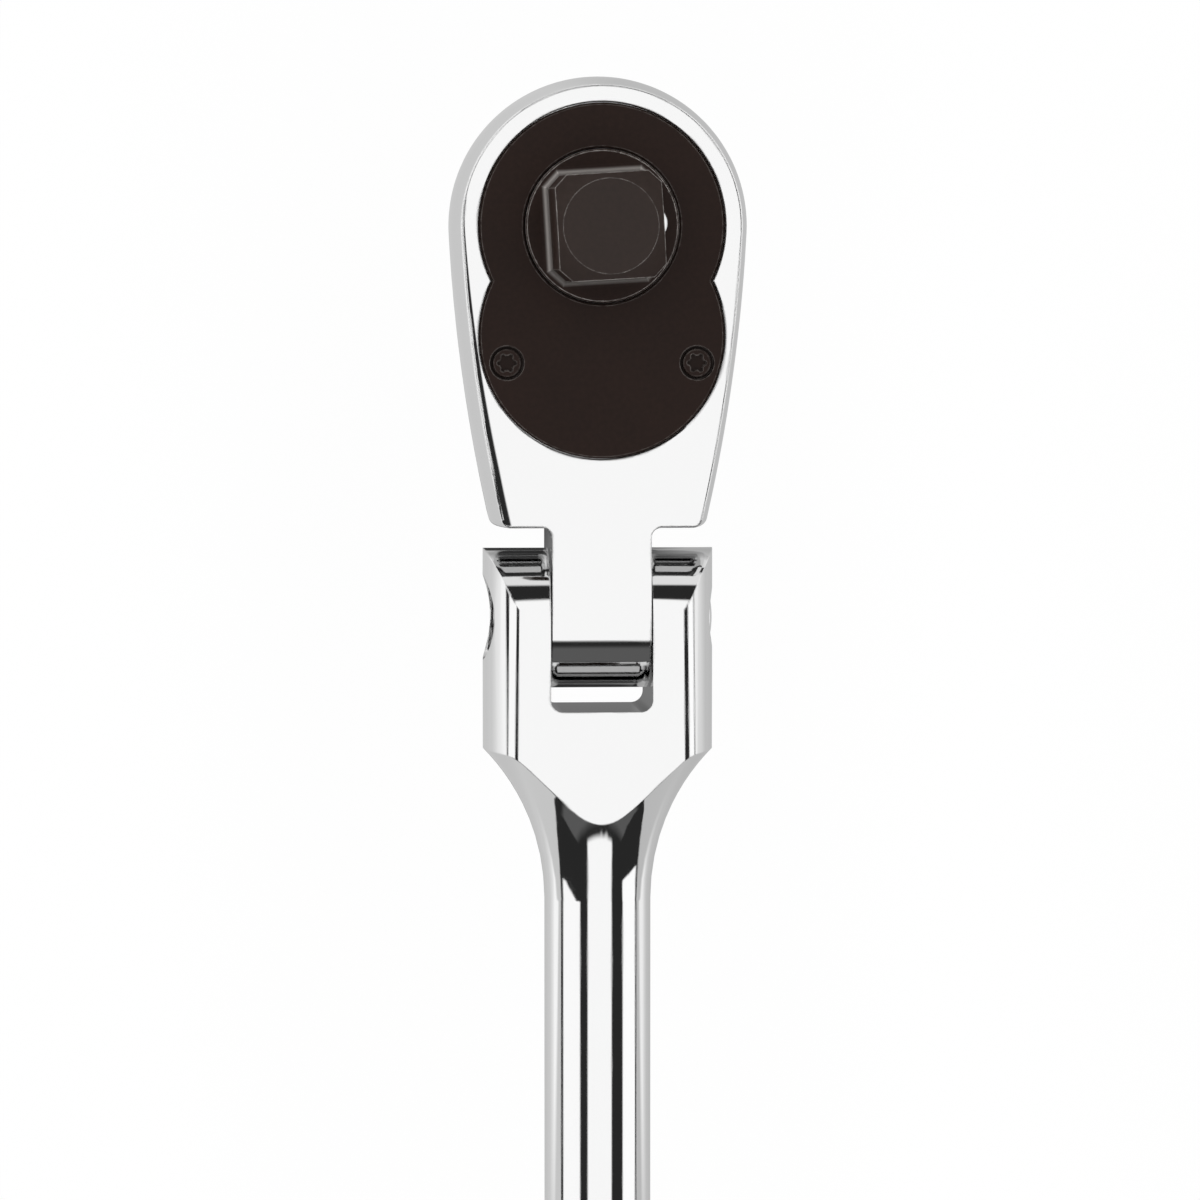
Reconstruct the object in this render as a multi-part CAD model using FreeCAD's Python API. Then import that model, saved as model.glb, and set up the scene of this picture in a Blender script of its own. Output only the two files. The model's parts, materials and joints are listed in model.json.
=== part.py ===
"""Flex-head ratchet wrench with a 3/8 in square drive, built as separate pieces.

Frame, in millimetres: the origin is on the drive axis at the hub face that a socket seats against.
+Z runs out along the square drive, +Y runs from the grip to the head, +X to the right of the drive face.
The wrench lies with its handle axis in the plane z = MID_Z and its reversing lever underneath.
"""
import FreeCAD
import Part
import math
import os
from FreeCAD import Vector

# ---- Overall sizes
OVERALL_LENGTH = 280.0
DRIVE_SIDE = 9.5             # across the flats of the square drive
YOKE_THICKNESS = 12.5        # flat to flat, the same for the tongue
TONGUE_WIDTH = 9.0
SHANK_RADIUS = 4.87

# ---- Square drive
DRIVE_LENGTH = 11.0
DRIVE_CORNER_CUT = 1.1
DRIVE_BASE_ROUND = 0.75
DRIVE_END_INSET = 0.5        # from a flat to the round end face
DRIVE_LEAD_HEIGHT = 0.75
DRIVE_LEAD_SPREAD = 2.26
DRIVE_TURN_DEG = 3.4         # the square stands a little turned against the handle
BALL_RADIUS = 1.75
BALL_STAND = 0.8             # how far the ball stands out of the drive's side
BALL_FROM_END = 5.5
BALL_HOLE_FIT = 0.04
BALL_HOLE_FLOOR = 2.1        # metal left behind the ball's hole

# ---- Hub, gear and rear journal
HUB_STAND = 0.4              # how far the hub face stands over the head's face
HUB_RIM = 0.21               # flat left between the square's base round and the hub's edge
HUB_COVER_GAP = 0.1          # the rear journal carries the hub, and the cover only clears it
HUB_EDGE_CHAMFER = 0.15
GEAR_TEETH = 72
GEAR_SHOULDER = 1.85         # how far the teeth stand out past the hub
GEAR_TOOTH_DEPTH = 0.42
GEAR_TIP_FLAT = 0.12
GEAR_COVER_GAP = 0.2
GEAR_POCKET_GAP = 0.3
JOURNAL_RADIUS = 5.0
JOURNAL_RUNNING_FIT = 0.05
JOURNAL_END_GAP = 0.3
JOURNAL_FLOOR = 1.6          # metal left under the journal's bore
THRUST_THICKNESS = 0.5
THRUST_GAP = 0.05
THRUST_EDGE_GAP = 0.8        # the thrust washer is this much smaller than the gear
O_RING_WIRE = 0.4
O_RING_SQUEEZE_GAP = 0.02

# ---- Pawl
PAWL_PIVOT_DROP = 3.4        # from the gear's tips down to the pawl's pivot
PAWL_PIN_RADIUS = 1.2
PAWL_PIN_FIT = 0.05
PAWL_PIN_SOCKET = 2.3
PAWL_HALF_SWING_DEG = 3.8
PAWL_POCKET_RISE = 1.3       # from the cover's lower disc up to the pocket's centre
PAWL_POCKET_LEDGE = 3.2
PAWL_POCKET_GAP = 0.5
PAWL_FACE_GAP = 0.2
PAWL_TOOTH_CLEARANCE = 0.08
PAWL_RELIEF_HALF_WIDTH = 4.2
PAWL_RELIEF_GAP = 0.3
PAWL_HEEL_LENGTH = 3.2       # from the pivot down to the flat end of the heel

# ---- Reversing lever
LEVER_DROP = 4.8             # from the pawl's pivot down to the lever's
LEVER_HALF_SWING_DEG = 28.0
STEM_RADIUS = 2.2
STEM_FIT = 0.05
STEM_TOP_GAP = 0.25
STEM_POCKET_GAP = 0.8
LEVER_BOSS_RIM = 2.8         # how far the lever's boss stands out past its stem
LEVER_BOSS_CLEARANCE = 0.3
LEVER_SEAT_DEPTH = 0.8
LEVER_SEAT_GAP = 0.05
LEVER_BACK_GAP = 0.25
LEVER_THICKNESS = 2.6        # of the paddle, outside the head
LEVER_REACH = 7.2
LEVER_END_RADIUS = 3.0
LEVER_EDGE_ROUND = 0.5
LEVER_RIB_COUNT = 4
LEVER_RIB_PITCH = 1.3
LEVER_RIB_DEPTH = 0.35
RETAINER_HEIGHT = 1.05       # how far the ring stands out round its groove
RETAINER_GROOVE_DEPTH = 0.4
RETAINER_THICKNESS = 0.4
RETAINER_GAP = 0.05
RETAINER_MOUTH = 1.3
PLUNGER_RADIUS = 0.9
PLUNGER_FIT = 0.04
PLUNGER_STAND = 0.3          # plunger tip beyond the stem's side
PLUNGER_LENGTH = 1.9
PLUNGER_HOLE_WALL = 0.8      # metal left behind the plunger's hole
PLUNGER_TIP_GAP = 0.04

# ---- Cover and its screws
COVER_LEDGE = 2.0            # ledge under the cover, round the gear's pocket
COVER_LAP = 1.0              # ledge under the cover, below the stem's pocket
COVER_THICKNESS = 1.6
COVER_SINK = 0.1             # cover face under the head's face
COVER_CLEARANCE = 0.07
COVER_EDGE_CHAMFER = 0.15
RECESS_EDGE_CHAMFER = 0.1
SCREW_EDGE = 2.15            # from the cover's edge to a screw's centre
SCREW_DROP_DEG = 16.0        # how far below the lower disc's centre the screws lie
SCREW_HEAD_RADIUS = 1.28
SCREW_HEAD_HEIGHT = 0.8
SCREW_BORE_CLEARANCE = 0.27  # round the head, in its counterbore
SCREW_SINK = 0.12            # screw head under the cover's face
SCREW_SHANK_RADIUS = 1.05
SCREW_LENGTH = 6.5
SCREW_HOLE_SPARE = 0.5
STAR_CORE_RADIUS = 0.68
STAR_LOBE_RADIUS = 0.22
STAR_DEPTH = 0.55

# ---- Head outline
HEAD_RIM = 2.40              # metal round the cover's recess, at the widest level
BACK_STEP = 0.9              # how much lower the head's back lies than the yoke's
BACK_WALL = 4.4              # metal under the gear's pocket
WALL_BARREL_RADIUS = 23.4    # the head's side wall bulges, and is widest at the middle plane
WALL_LEVELS = 4              # outlines that the wall's upper and lower half each pass through
SIDE_TANGENT_DEG = 3.0       # where the side arc leaves the round top, below the drive axis
SHOULDER_GAP = 5.3           # from the lever's boss down to the shoulders
SHOULDER_STEP = 0.7          # the shoulders are this much narrower than the yoke, each side
SHOULDER_CORNER = 0.9
BACK_SHOULDER_CORNER = 3.0
BACK_SHOULDER_INSET = 2.6
FACE_EDGE_ROUND = 0.25
BACK_EDGE_ROUND = 2.0

# ---- Flex joint
EAR_GAP = 2.05               # from the ears' ends to the shoulders
EAR_THICKNESS = 5.87
EAR_END_OVER = 0.05          # the ears' round ends are this much larger than half the thickness
TONGUE_END_OVER = 0.25
NECK_ROUND = 0.9
SLOT_CLEARANCE = 0.13        # each side of the tongue
SLOT_FLOOR_GAP = 1.85        # from the tongue's end to the slot's floor
SLOT_CORNER = 1.1
PIVOT_RADIUS = 2.5
PIVOT_RUNNING_FIT = 0.06
PIVOT_HEAD_RIM = 1.25
PIVOT_HEAD_LENGTH = 2.1
PIVOT_HEAD_CLEARANCE = 0.15
PIVOT_EAR_WALL = 2.5         # metal left under the screw's head
PIVOT_END_SINK = 0.05        # screw end under the ear's outer surface
PIVOT_END_DOME = 0.35
PIVOT_MOUTH_CHAMFER = 0.4
HEX_KEY = 3.0
HEX_KEY_DEPTH = 1.4
WASHER_WIDTH = 1.6
WASHER_SEAT_DEPTH = 0.7
WASHER_CLEARANCE = 0.05
WASHER_THICKNESS = 0.35

# ---- Handle
YOKE_SIDE_ROUND = 2.45       # how far the yoke's rounded sides bulge past its flats
YOKE_EDGE_ROUND = 2.0        # along the edges of the yoke's flats
FLARE_RADIUS = 19.6          # hollow round between the yoke and the shank
FLARE_START_GAP = 3.67       # from the slot's floor to the start of the flare
GRIP_RADIUS = 7.1
GRIP_LENGTH = 96.0
GRIP_SWELL_LENGTH = 16.0
GRIP_END_ROUND = 3.0
GRIP_RING_WIDTH = 1.6
GRIP_RING_DEPTH = 0.45
GRIP_RING_INSET = 7.0        # from the grip's ends to its two turned rings

# ---- Springs
BALL_SPRING_WIRE = 0.25      # radius of the wire
LEVER_SPRING_WIRE = 0.15
SPRING_GAP = 0.06
SPRING_TURNS = 4.5

# ---- Sizes and places that follow, from the square outwards
HUB_RADIUS = math.hypot(DRIVE_SIDE / 2, DRIVE_SIDE / 2 - DRIVE_CORNER_CUT) + DRIVE_BASE_ROUND + HUB_RIM
GEAR_TIP_RADIUS = HUB_RADIUS + GEAR_SHOULDER
COVER_RADIUS = GEAR_TIP_RADIUS + GEAR_POCKET_GAP + COVER_LEDGE
HEAD_RADIUS = COVER_RADIUS + COVER_CLEARANCE + HEAD_RIM
PAWL_PIVOT_Y = -GEAR_TIP_RADIUS - PAWL_PIVOT_DROP
LEVER_Y = PAWL_PIVOT_Y - LEVER_DROP
STEM_POCKET_RADIUS = STEM_RADIUS + STEM_POCKET_GAP
LEVER_BOSS_RADIUS = STEM_RADIUS + LEVER_BOSS_RIM
RETAINER_GROOVE_RADIUS = STEM_RADIUS - RETAINER_GROOVE_DEPTH
RETAINER_RADIUS = RETAINER_GROOVE_RADIUS + RETAINER_HEIGHT
COVER_LOBE_Y = LEVER_Y - STEM_POCKET_RADIUS - COVER_LAP + COVER_RADIUS
PAWL_CENTRE_Y = COVER_LOBE_Y + PAWL_POCKET_RISE
PAWL_POCKET_RADIUS = COVER_RADIUS - PAWL_POCKET_LEDGE
SCREW_X = (COVER_RADIUS - SCREW_EDGE) * math.cos(math.radians(SCREW_DROP_DEG))
SCREW_Y = COVER_LOBE_Y - (COVER_RADIUS - SCREW_EDGE) * math.sin(math.radians(SCREW_DROP_DEG))
SLOT_HALF_WIDTH = TONGUE_WIDTH / 2 + SLOT_CLEARANCE
YOKE_WIDTH = 2 * (SLOT_HALF_WIDTH + EAR_THICKNESS)
YOKE_FLAT_WIDTH = YOKE_WIDTH - 2 * YOKE_SIDE_ROUND
EAR_END_RADIUS = YOKE_THICKNESS / 2 + EAR_END_OVER
TONGUE_END_RADIUS = YOKE_THICKNESS / 2 + TONGUE_END_OVER
SHOULDER_Y = LEVER_Y - LEVER_BOSS_RADIUS - SHOULDER_GAP
SHOULDER_HALF_WIDTH = YOKE_WIDTH / 2 - SHOULDER_STEP
PIVOT_Y = SHOULDER_Y - EAR_GAP - EAR_END_RADIUS
PIVOT_HEAD_RADIUS = PIVOT_RADIUS + PIVOT_HEAD_RIM
WASHER_SEAT_RADIUS = PIVOT_RADIUS + PIVOT_RUNNING_FIT + WASHER_WIDTH + WASHER_CLEARANCE
SLOT_FLOOR_Y = PIVOT_Y - TONGUE_END_RADIUS - SLOT_FLOOR_GAP
FLARE_START_Y = SLOT_FLOOR_Y - FLARE_START_GAP
FLARE_RISE = YOKE_WIDTH / 2 - SHANK_RADIUS
FLARE_END_Y = FLARE_START_Y - math.sqrt(FLARE_RADIUS ** 2 - (FLARE_RADIUS - FLARE_RISE) ** 2)
HANDLE_END_Y = HEAD_RADIUS - OVERALL_LENGTH

# ---- Levels along Z, from the hub face down
FACE_Z = -HUB_STAND
MID_Z = FACE_Z - YOKE_THICKNESS / 2
BACK_Z = FACE_Z - YOKE_THICKNESS - BACK_STEP
COVER_Z = FACE_Z - COVER_SINK
LEDGE_Z = COVER_Z - COVER_THICKNESS
SCREW_TOP_Z = COVER_Z - SCREW_SINK
GEAR_TOP_Z = LEDGE_Z - GEAR_COVER_GAP
POCKET_FLOOR_Z = BACK_Z + BACK_WALL
GEAR_BOTTOM_Z = POCKET_FLOOR_Z + THRUST_THICKNESS + 2 * THRUST_GAP
JOURNAL_END_Z = BACK_Z + JOURNAL_FLOOR + JOURNAL_END_GAP
PAWL_MID_Z = (LEDGE_Z + POCKET_FLOOR_Z) / 2
LEVER_SEAT_Z = BACK_Z + LEVER_SEAT_DEPTH
LEVER_BOTTOM_Z = BACK_Z - LEVER_BACK_GAP - LEVER_THICKNESS
BALL_Z = DRIVE_LENGTH - BALL_FROM_END
BALL_X = DRIVE_SIDE / 2 + BALL_STAND - BALL_RADIUS
BALL_HOLE_END_X = BALL_HOLE_FLOOR - DRIVE_SIDE / 2

X_AXIS = Vector(1, 0, 0)
Y_AXIS = Vector(0, 1, 0)
Z_AXIS = Vector(0, 0, 1)
DRIVE_AXIS = Vector(0, 0, 0)
PAWL_PIVOT = Vector(0, PAWL_PIVOT_Y, 0)
LEVER_PIVOT = Vector(0, LEVER_Y, 0)
OVERRUN = 1.0                # cutting tools run this far past the faces that they cut


def rod(radius, low_z, high_z, x=0.0, y=0.0):
    """A round bar along Z."""
    return Part.makeCylinder(radius, high_z - low_z, Vector(x, y, low_z), Z_AXIS)


def cross_rod(radius, low_x, high_x, y=PIVOT_Y, z=MID_Z):
    """A round bar along X, on the flex pivot unless told otherwise."""
    return Part.makeCylinder(radius, high_x - low_x, Vector(low_x, y, z), X_AXIS)


def block(low_x, high_x, low_y, high_y, low_z, high_z):
    return Part.makeBox(high_x - low_x, high_y - low_y, high_z - low_z, Vector(low_x, low_y, low_z))


def cone(low_radius, high_radius, low_z, high_z, x=0.0, y=0.0):
    return Part.makeCone(low_radius, high_radius, high_z - low_z, Vector(x, y, low_z), Z_AXIS)


def turned(shape, degrees, centre=DRIVE_AXIS, axis=Z_AXIS):
    """A copy of the shape, turned about an axis through a point."""
    copy = shape.copy()
    copy.rotate(centre, axis, degrees)
    return copy


def ring(outer_radius, inner_radius, low_z, high_z, x=0.0, y=0.0):
    inner = rod(inner_radius, low_z - OVERRUN, high_z + OVERRUN, x, y)
    return rod(outer_radius, low_z, high_z, x, y).cut(inner)


def prism(points, low_z, high_z):
    """A straight-sided solid over a closed polygon."""
    wire = Part.makePolygon([Vector(x, y, low_z) for x, y in points] + [Vector(*points[0], low_z)])
    return Part.Face(wire).extrude(Vector(0, 0, high_z - low_z))


def edges_where(shape, test):
    """The edges whose every sampled point passes the test."""
    found = []
    for edge in shape.Edges:
        places = [edge.valueAt(edge.FirstParameter + share * (edge.LastParameter - edge.FirstParameter))
                  for share in (0.0, 0.25, 0.5, 0.75, 1.0)]
        if all(test(place) for place in places):
            found.append(edge)
    return found


def near(value, target, slack=0.01):
    return abs(value - target) < slack


# ---- Head

def head_outline(inset, shoulder_inset, corner, z):
    """The teardrop outline at one level: a round top, two long side arcs and rounded shoulders."""
    tilt = math.radians(SIDE_TANGENT_DEG)
    towards_x, towards_y = math.cos(tilt), -math.sin(tilt)
    along = SHOULDER_HALF_WIDTH * towards_x + SHOULDER_Y * towards_y
    reach = SHOULDER_HALF_WIDTH ** 2 + SHOULDER_Y ** 2
    side_radius = (reach + HEAD_RADIUS ** 2 - 2 * HEAD_RADIUS * along) / (2 * (HEAD_RADIUS - along))
    centre_x = (HEAD_RADIUS - side_radius) * towards_x
    centre_y = (HEAD_RADIUS - side_radius) * towards_y
    top_radius = HEAD_RADIUS - inset
    side_radius -= inset
    shoulder_y = SHOULDER_Y + shoulder_inset
    corner_y = shoulder_y + corner
    corner_reach = side_radius - corner
    corner_x = centre_x + math.sqrt(corner_reach ** 2 - (corner_y - centre_y) ** 2)
    join_turn = math.atan2(corner_y - centre_y, corner_x - centre_x)

    def side_point(angle):
        return Vector(centre_x + side_radius * math.cos(angle), centre_y + side_radius * math.sin(angle), z)

    def corner_point(angle):
        return Vector(corner_x + corner * math.cos(angle), corner_y + corner * math.sin(angle), z)

    def mirrored(point):
        return Vector(-point.x, point.y, point.z)

    side_start = side_point(-tilt)
    side_middle = side_point((join_turn - tilt) / 2)
    side_end = side_point(join_turn)
    corner_middle = corner_point((join_turn - math.pi / 2) / 2)
    corner_end = corner_point(-math.pi / 2)
    edges = [
        Part.Arc(mirrored(side_start), Vector(0, top_radius, z), side_start).toShape(),
        Part.Arc(side_start, side_middle, side_end).toShape(),
        Part.Arc(side_end, corner_middle, corner_end).toShape(),
        Part.LineSegment(corner_end, mirrored(corner_end)).toShape(),
        Part.Arc(mirrored(corner_end), mirrored(corner_middle), mirrored(side_end)).toShape(),
        Part.Arc(mirrored(side_end), mirrored(side_middle), mirrored(side_start)).toShape(),
    ]
    return Part.Wire(edges)


def wall_inset(z):
    """How far the head's wall lies inside its widest outline at one level."""
    return WALL_BARREL_RADIUS - math.sqrt(WALL_BARREL_RADIUS ** 2 - (z - MID_Z) ** 2)


def head_half(end_z, end_shoulder_inset, end_corner):
    """Half of the forged teardrop, from its widest level to its face or back."""
    outlines = []
    for level in range(WALL_LEVELS):
        share = level / (WALL_LEVELS - 1)
        z = MID_Z + share * (end_z - MID_Z)
        corner = SHOULDER_CORNER + share * (end_corner - SHOULDER_CORNER)
        outlines.append(head_outline(wall_inset(z), share * end_shoulder_inset, corner, z))
    return Part.makeLoft(outlines, True, False)


def head_blank():
    """The forged teardrop with its barrelled wall and rounded edges."""
    upper = head_half(FACE_Z, 0.0, SHOULDER_CORNER)
    lower = head_half(BACK_Z, BACK_SHOULDER_INSET, BACK_SHOULDER_CORNER)
    blank = upper.fuse(lower)
    face_edges = edges_where(blank, lambda p: near(p.z, FACE_Z) and not near(p.y, SHOULDER_Y))
    blank = blank.makeFillet(FACE_EDGE_ROUND, face_edges)
    back_edges = edges_where(blank, lambda p: near(p.z, BACK_Z))
    return blank.makeFillet(BACK_EDGE_ROUND, back_edges)


def tongue():
    """The flat tongue below the shoulders, with its end rounded about the flex pivot."""
    half = TONGUE_WIDTH / 2
    low_z = MID_Z - YOKE_THICKNESS / 2
    high_z = MID_Z + YOKE_THICKNESS / 2
    root_y = SHOULDER_Y + BACK_SHOULDER_INSET + BACK_EDGE_ROUND
    stem = block(-half, half, PIVOT_Y, root_y, low_z, high_z)
    end = cross_rod(TONGUE_END_RADIUS, -half, half)
    slab = block(-half, half, PIVOT_Y - TONGUE_END_RADIUS - OVERRUN, root_y, low_z, high_z)
    return stem.fuse(end.common(slab))


def lobed_plate(radius, low_z, high_z):
    """Two overlapping discs: one round the drive axis, one over the pawl."""
    return rod(radius, low_z, high_z).fuse(rod(radius, low_z, high_z, 0, COVER_LOBE_Y))


def lobed_bevel(radius, size, high_z):
    """A 45 degree bevel tool that widens upwards to the given level, round both discs."""
    bevel = cone(radius, radius + size, high_z - size, high_z)
    return bevel.fuse(cone(radius, radius + size, high_z - size, high_z, 0, COVER_LOBE_Y))


def head_body():
    """The chromed head with its recess, pockets, bores and tongue."""
    body = head_blank().fuse(tongue()).removeSplitter()
    half = TONGUE_WIDTH / 2
    neck_edges = edges_where(body, lambda p: near(abs(p.x), half) and near(p.y, SHOULDER_Y))
    body = body.makeFillet(NECK_ROUND, neck_edges)
    recess_radius = COVER_RADIUS + COVER_CLEARANCE
    seat_radius = LEVER_BOSS_RADIUS + LEVER_BOSS_CLEARANCE
    top = FACE_Z + OVERRUN
    cuts = [
        lobed_plate(recess_radius, LEDGE_Z, top),
        lobed_bevel(recess_radius, RECESS_EDGE_CHAMFER, FACE_Z),
        rod(GEAR_TIP_RADIUS + GEAR_POCKET_GAP, POCKET_FLOOR_Z, top),
        rod(JOURNAL_RADIUS + JOURNAL_RUNNING_FIT, JOURNAL_END_Z - JOURNAL_END_GAP, top),
        rod(PAWL_POCKET_RADIUS, POCKET_FLOOR_Z, top, 0, PAWL_CENTRE_Y),
        rod(STEM_POCKET_RADIUS, POCKET_FLOOR_Z, top, 0, LEVER_Y),
        rod(STEM_RADIUS + STEM_FIT, BACK_Z - OVERRUN, top, 0, LEVER_Y),
        rod(PAWL_PIN_RADIUS, POCKET_FLOOR_Z - PAWL_PIN_SOCKET, top, 0, PAWL_PIVOT_Y),
        rod(seat_radius, BACK_Z - OVERRUN, LEVER_SEAT_Z, 0, LEVER_Y),
        cross_rod(PIVOT_RADIUS + PIVOT_RUNNING_FIT, -half - OVERRUN, half + OVERRUN),
    ]
    for side in (-1, 1):
        hole_end = SCREW_TOP_Z - SCREW_LENGTH - SCREW_HOLE_SPARE
        cuts.append(rod(SCREW_SHANK_RADIUS, hole_end, top, side * SCREW_X, SCREW_Y))
    for tool in cuts:
        body = body.cut(tool)
    return body


# ---- Cover

def cover_plate():
    """The two-lobed cover that holds the gear and pawl in."""
    plate = lobed_plate(COVER_RADIUS, LEDGE_Z, COVER_Z - COVER_EDGE_CHAMFER)
    for lobe_y in (0.0, COVER_LOBE_Y):
        low_z = COVER_Z - COVER_EDGE_CHAMFER
        plate = plate.fuse(cone(COVER_RADIUS, COVER_RADIUS - COVER_EDGE_CHAMFER, low_z, COVER_Z, 0, lobe_y))
    plate = plate.removeSplitter()
    hole_radius = HUB_RADIUS + HUB_COVER_GAP
    plate = plate.cut(rod(hole_radius, LEDGE_Z - OVERRUN, COVER_Z + OVERRUN))
    bevel_z = COVER_Z - COVER_EDGE_CHAMFER
    plate = plate.cut(cone(hole_radius, hole_radius + COVER_EDGE_CHAMFER, bevel_z, COVER_Z))
    bore_radius = SCREW_HEAD_RADIUS + SCREW_BORE_CLEARANCE
    seat_z = SCREW_TOP_Z - SCREW_HEAD_HEIGHT
    for side in (-1, 1):
        x = side * SCREW_X
        plate = plate.cut(rod(SCREW_SHANK_RADIUS, LEDGE_Z - OVERRUN, COVER_Z, x, SCREW_Y))
        plate = plate.cut(rod(bore_radius, seat_z, COVER_Z + OVERRUN, x, SCREW_Y))
    return plate


def cover_screw(side):
    """A small round-headed screw with a six-lobe recess, seated in the cover's counterbore."""
    x = side * SCREW_X
    seat_z = SCREW_TOP_Z - SCREW_HEAD_HEIGHT
    head = rod(SCREW_HEAD_RADIUS, seat_z, SCREW_TOP_Z, x, SCREW_Y)
    head = head.makeFillet(SCREW_SINK, edges_where(head, lambda p: near(p.z, SCREW_TOP_Z)))
    shank = rod(SCREW_SHANK_RADIUS, SCREW_TOP_Z - SCREW_LENGTH, seat_z, x, SCREW_Y)
    screw = head.fuse(shank)
    recess_floor = SCREW_TOP_Z - STAR_DEPTH
    recess_top = SCREW_TOP_Z + OVERRUN
    recess = rod(STAR_CORE_RADIUS, recess_floor, recess_top, x, SCREW_Y)
    for lobe in range(6):
        turn = math.radians(60 * lobe)
        lobe_x = x + STAR_CORE_RADIUS * math.cos(turn)
        lobe_y = SCREW_Y + STAR_CORE_RADIUS * math.sin(turn)
        recess = recess.fuse(rod(STAR_LOBE_RADIUS, recess_floor, recess_top, lobe_x, lobe_y))
    return screw.cut(recess)


# ---- Drive

def gear_points(growth):
    """The toothed outline, with a gap on -Y. Growth pushes it outwards, to cut clearance with."""
    pitch = 2 * math.pi / GEAR_TEETH
    tip_radius = GEAR_TIP_RADIUS + growth
    root_radius = tip_radius - GEAR_TOOTH_DEPTH
    half_tip = GEAR_TIP_FLAT / 2 / GEAR_TIP_RADIUS
    points = []
    for tooth in range(GEAR_TEETH):
        gap_turn = -math.pi / 2 + tooth * pitch
        tip_turn = gap_turn + pitch / 2
        points.append((root_radius * math.cos(gap_turn), root_radius * math.sin(gap_turn)))
        for turn in (tip_turn - half_tip, tip_turn + half_tip):
            points.append((tip_radius * math.cos(turn), tip_radius * math.sin(turn)))
    return points


def drive_square():
    """The square drive with cut corners and a turned lead-in at its end."""
    half = DRIVE_SIDE / 2
    inner = half - DRIVE_CORNER_CUT
    corners = [(half, inner), (inner, half), (-inner, half), (-half, inner),
               (-half, -inner), (-inner, -half), (inner, -half), (half, -inner)]
    square = prism(corners, -OVERRUN, DRIVE_LENGTH)
    lead_z = DRIVE_LENGTH - DRIVE_LEAD_HEIGHT
    end_radius = half - DRIVE_END_INSET
    lead_radius = end_radius + DRIVE_LEAD_SPREAD
    envelope = rod(lead_radius, -OVERRUN, lead_z)
    envelope = envelope.fuse(cone(lead_radius, end_radius, lead_z, DRIVE_LENGTH))
    return square.common(envelope)


def ball_hole():
    """The cross hole for the detent ball and its spring."""
    mouth_x = DRIVE_SIDE / 2 + OVERRUN
    radius = BALL_RADIUS + BALL_HOLE_FIT
    return Part.makeCylinder(radius, mouth_x - BALL_HOLE_END_X, Vector(BALL_HOLE_END_X, 0, BALL_Z), X_AXIS)


def drive_gear():
    """The ratchet gear in one piece with its hub, rear journal and square drive."""
    hub_top = -HUB_EDGE_CHAMFER
    hub = rod(HUB_RADIUS, GEAR_TOP_Z, hub_top)
    hub = hub.fuse(cone(HUB_RADIUS, HUB_RADIUS - HUB_EDGE_CHAMFER, hub_top, 0.0))
    piece = hub.fuse(drive_square()).removeSplitter()
    reach = DRIVE_SIDE / 2 + OVERRUN
    base_edges = edges_where(piece, lambda p: near(p.z, 0.0) and max(abs(p.x), abs(p.y)) < reach
                             and math.hypot(p.x, p.y) < HUB_RADIUS - 2 * HUB_EDGE_CHAMFER)
    piece = piece.makeFillet(DRIVE_BASE_ROUND, base_edges)
    piece = piece.cut(ball_hole())
    piece = turned(piece, DRIVE_TURN_DEG)
    piece = piece.fuse(prism(gear_points(0.0), GEAR_BOTTOM_Z, GEAR_TOP_Z))
    piece = piece.fuse(rod(JOURNAL_RADIUS, JOURNAL_END_Z, GEAR_BOTTOM_Z))
    groove_mid = (COVER_Z + LEDGE_Z) / 2
    groove_half = O_RING_WIRE + O_RING_SQUEEZE_GAP
    groove_radius = hub_ring_radius() - O_RING_WIRE
    groove = ring(HUB_RADIUS + OVERRUN, groove_radius, groove_mid - groove_half, groove_mid + groove_half)
    return piece.cut(groove)


def hub_ring_radius():
    """Centre-line radius of the O-ring between the hub and the cover's hole."""
    return HUB_RADIUS + HUB_COVER_GAP - O_RING_SQUEEZE_GAP - O_RING_WIRE


def hub_o_ring():
    return Part.makeTorus(hub_ring_radius(), O_RING_WIRE, Vector(0, 0, (COVER_Z + LEDGE_Z) / 2), Z_AXIS)


def thrust_washer():
    outer_radius = GEAR_TIP_RADIUS - THRUST_EDGE_GAP
    inner_radius = JOURNAL_RADIUS + JOURNAL_RUNNING_FIT
    return ring(outer_radius, inner_radius, POCKET_FLOOR_Z, POCKET_FLOOR_Z + THRUST_THICKNESS)


def detent_ball():
    return turned(Part.makeSphere(BALL_RADIUS, Vector(BALL_X, 0, BALL_Z)), DRIVE_TURN_DEG)


def coil_spring(coil_radius, wire, length, start, direction):
    """A round-wire compression spring whose wire lies between its start point and its length."""
    pitch = (length - 2 * wire) / SPRING_TURNS
    helix = Part.makeHelix(pitch, length - 2 * wire, coil_radius)
    section = Part.makeCircle(wire, Vector(coil_radius, 0, 0), Y_AXIS)
    coil = Part.Wire(helix.Edges).makePipeShell([Part.Wire([section])], True, True)
    coil.translate(Vector(0, 0, wire))
    coil.Placement = FreeCAD.Placement(start, FreeCAD.Rotation(Z_AXIS, direction)).multiply(coil.Placement)
    return coil


def detent_spring():
    """The coil behind the ball, from the hole's end to the ball's back."""
    start_x = BALL_HOLE_END_X + SPRING_GAP
    coil_radius = BALL_RADIUS - BALL_SPRING_WIRE - 2 * SPRING_GAP
    touch = math.sqrt(BALL_RADIUS ** 2 - (coil_radius - BALL_SPRING_WIRE) ** 2)
    length = BALL_X - touch - SPRING_GAP - start_x
    coil = coil_spring(coil_radius, BALL_SPRING_WIRE, length, Vector(start_x, 0, BALL_Z), X_AXIS)
    return turned(coil, DRIVE_TURN_DEG)


# ---- Pawl

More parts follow.
